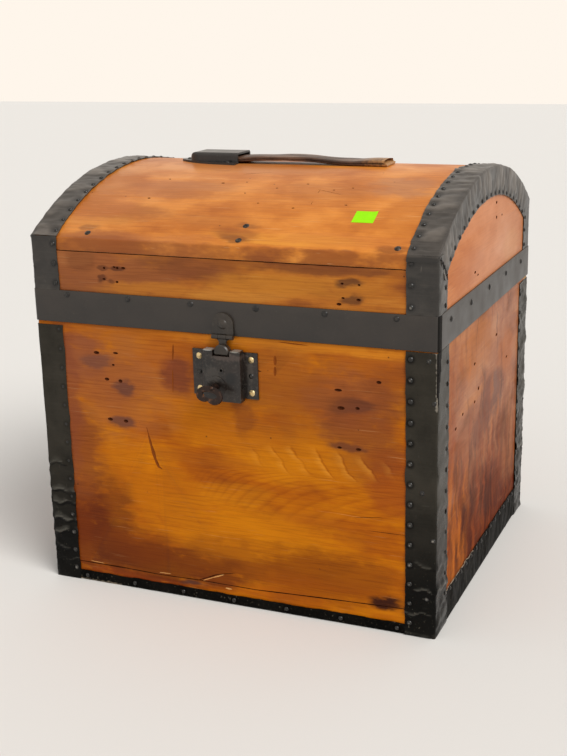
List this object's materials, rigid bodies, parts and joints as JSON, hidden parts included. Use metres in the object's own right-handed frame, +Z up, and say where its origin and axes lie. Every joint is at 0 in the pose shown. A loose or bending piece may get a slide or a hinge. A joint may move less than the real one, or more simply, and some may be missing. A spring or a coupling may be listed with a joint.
{
  "type": "dome top trunk",
  "caption": "Nailed pine trunk with an arched lid on stop hinges, sheet iron bindings, a surface lock with key, bolt and hasp, and a leather strap handle on the dome.",
  "frame": {"origin": "centre of the underside, at floor level under the middle of the trunk's body", "axes": "+Z up; front face with the lock towards -Y; width along X; +X to the right for someone who looks at the front"},
  "size_m": [0.3852, 0.3661, 0.394],
  "materials": {
    "pine_front": "aged shellac, satin",
    "pine_back": "aged shellac, satin",
    "pine_left_end": "aged shellac, satin",
    "pine_right_end": "aged shellac, satin",
    "pine_bottom": "bare, worn",
    "pine_lid_front": "aged shellac, satin",
    "pine_lid_back": "aged shellac, satin",
    "pine_lid_left_end": "aged shellac, satin",
    "pine_lid_right_end": "aged shellac, satin",
    "pine_dome": "aged shellac, satin",
    "iron_corner": "dark japanned sheet iron, worn satin",
    "iron_bottom": "dark japanned sheet iron, worn satin",
    "iron_arch": "dark japanned sheet iron, worn satin",
    "iron_band": "dark japanned iron, satin",
    "iron_nail": "dark, worn on the domes",
    "wire_nail": "plain wire",
    "iron_lock": "dark japanned iron, worn satin",
    "steel_bolt": "machined",
    "iron_hinge": "dark japanned iron, satin",
    "iron_hasp": "dark iron, brown where worn",
    "iron_key": "red-brown patina",
    "iron_handle": "dark japanned iron, satin",
    "brass_screw": "plain, lightly tarnished",
    "grey_screw": "dull",
    "strap_leather": "dark, dry, tan where frayed",
    "green_paper": "matt coloured paper sticker"
  },
  "bodies": {
    "lid": {"arch_binding_left": "iron_arch", "arch_binding_right": "iron_arch", "arch_nails": "iron_nail", "band_nails": "iron_nail", "blank_label": "green_paper", "dome_board": "pine_dome", "dome_screws": "grey_screw", "handle_cap": "iron_handle", "handle_nails": "iron_nail", "handle_strap": "strap_leather", "hasp_pin": "iron_hasp", "hasp_plate": "iron_hasp", "hasp_rivet": "iron_hasp", "hinge_upper_leaf_left": "iron_hinge", "hinge_upper_leaf_right": "iron_hinge", "hinge_upper_screws": "grey_screw", "lid_back_board": "pine_lid_back", "lid_band": "iron_band", "lid_corner_binding_front_left": "iron_corner", "lid_corner_binding_front_right": "iron_corner", "lid_corner_binding_rear_left": "iron_corner", "lid_corner_binding_rear_right": "iron_corner", "lid_corner_nails": "iron_nail", "lid_front_board": "pine_lid_front", "lid_left_end": "pine_lid_left_end", "lid_right_end": "pine_lid_right_end", "lid_wall_nails": "wire_nail"},
    "hasp": {"hasp_tongue": "iron_hasp"},
    "key": {"key": "iron_key"},
    "bolt": {"lock_bolt": "steel_bolt"},
    "base": {"base_back_board": "pine_back", "base_bottom_board": "pine_bottom", "base_corner_binding_front_left": "iron_corner", "base_corner_binding_front_right": "iron_corner", "base_corner_binding_rear_left": "iron_corner", "base_corner_binding_rear_right": "iron_corner", "base_corner_nails": "iron_nail", "base_front_board": "pine_front", "base_left_end": "pine_left_end", "base_right_end": "pine_right_end", "base_wall_nails": "wire_nail", "bottom_binding_back": "iron_bottom", "bottom_binding_front": "iron_bottom", "bottom_binding_left": "iron_bottom", "bottom_binding_nails": "iron_nail", "bottom_binding_right": "iron_bottom", "hinge_lower_leaf_left": "iron_hinge", "hinge_lower_leaf_right": "iron_hinge", "hinge_lower_screws": "grey_screw", "hinge_pins": "iron_hinge", "lock_backplate": "iron_lock", "lock_case": "iron_lock", "lock_key_post": "iron_lock", "lock_rivets": "iron_nail", "lock_screws": "brass_screw"}
  },
  "joints": [
    {"name": "lid_hinge", "type": "hinge", "parent": "base", "child": "lid", "pos_m": [0, 0.1693, 0.2556], "axis": [-1, 0, 0], "range_deg": [0, 105]},
    {"name": "hasp_swing", "type": "hinge", "parent": "lid", "child": "hasp", "pos_m": [0, -0.1682, 0.255], "axis": [-1, 0, 0], "range_deg": [0, 100]},
    {"name": "key_turn", "type": "hinge", "parent": "base", "child": "key", "pos_m": [-0.005, -0.17, 0.212], "axis": [0, 1, 0], "range_deg": [0, 90]},
    {"name": "bolt_slide", "type": "slide", "parent": "base", "child": "bolt", "axis": [1, 0, 0], "range_m": [0, 0.0048]}
  ],
  "couplings": [
    {"joint": "bolt_slide", "follows": "key_turn", "m_per_rad": 0.0030557}
  ]
}
